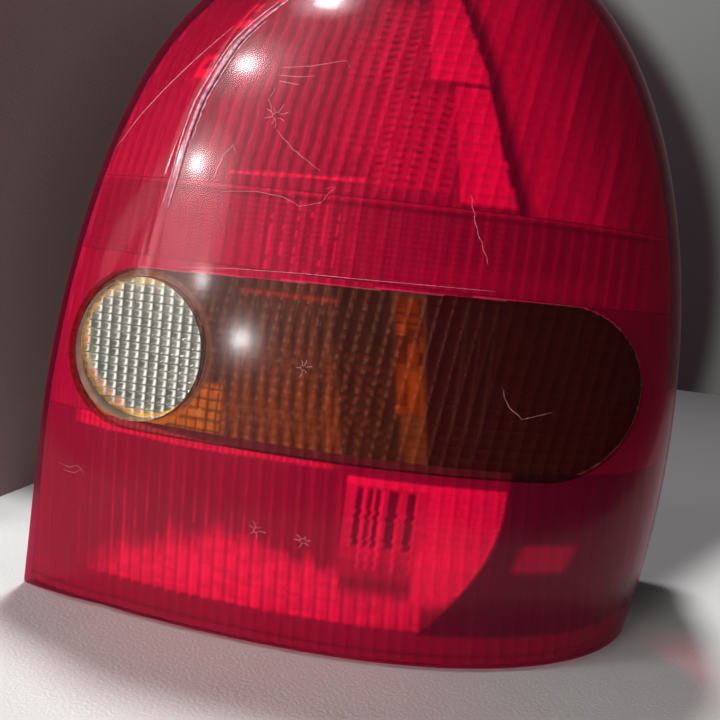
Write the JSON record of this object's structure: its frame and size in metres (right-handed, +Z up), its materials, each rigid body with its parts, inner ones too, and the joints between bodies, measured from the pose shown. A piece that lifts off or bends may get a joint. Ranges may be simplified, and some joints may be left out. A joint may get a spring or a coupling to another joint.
{
  "type": "tail light cluster",
  "caption": "Right-hand rear lamp for a hatchback corner: wrapped red lens with smoked window, round clear reversing lens, reflectors, bulbs, bulb carrier with plug, housing and studs.",
  "frame": {"origin": "in the flat underside of the foot, 30 mm behind the front of the foot, in the middle of its width", "axes": "+Z up the lamp, -Y out of the lamp's front towards the road behind the car, +X to the lamp's outer side, which wraps round the car's corner"},
  "size_m": [0.2201, 0.1622, 0.2538],
  "materials": {
    "red_acrylic": "clear red acrylic, polished, with fine scratches",
    "smoked_acrylic": "clear smoked acrylic, polished",
    "clear_acrylic": "clear acrylic, polished",
    "amber_acrylic": "clear amber acrylic, polished",
    "white_plastic": "moulded, satin",
    "dark_plastic": "moulded, fine grain",
    "silvered_plastic": "moulded, coated with aluminium",
    "sealant": "matt",
    "foam": "matt closed-cell foam",
    "brass": "stamped, satin",
    "steel": "zinc plated",
    "clear_glass": "blown, clear",
    "wire": "drawn wire"
  },
  "bodies": {
    "root": {"red_lens": "red_acrylic", "smoked_window": "smoked_acrylic", "reversing_lens": "clear_acrylic", "amber_filter": "amber_acrylic", "reflex_backing": "white_plastic", "rim_sealant": "sealant", "housing": "dark_plastic", "stop_reflector": "silvered_plastic", "turn_reflector": "silvered_plastic", "reversing_reflector": "silvered_plastic", "fog_reflector": "silvered_plastic", "bulb_carrier": "white_plastic", "carrier_seal": "foam", "stop_track": "brass", "turn_track": "brass", "reversing_track": "brass", "fog_track": "brass", "ground_track": "brass", "stop_bulb_glass": "clear_glass", "stop_bulb_cap": "brass", "stop_bulb_filament": "wire", "turn_bulb_glass": "clear_glass", "turn_bulb_cap": "brass", "turn_bulb_filament": "wire", "reversing_bulb_glass": "clear_glass", "reversing_bulb_cap": "brass", "reversing_bulb_filament": "wire", "fog_bulb_glass": "clear_glass", "fog_bulb_cap": "brass", "fog_bulb_filament": "wire", "body_seal": "foam", "mounting_studs": "steel"}
  },
  "joints": []
}
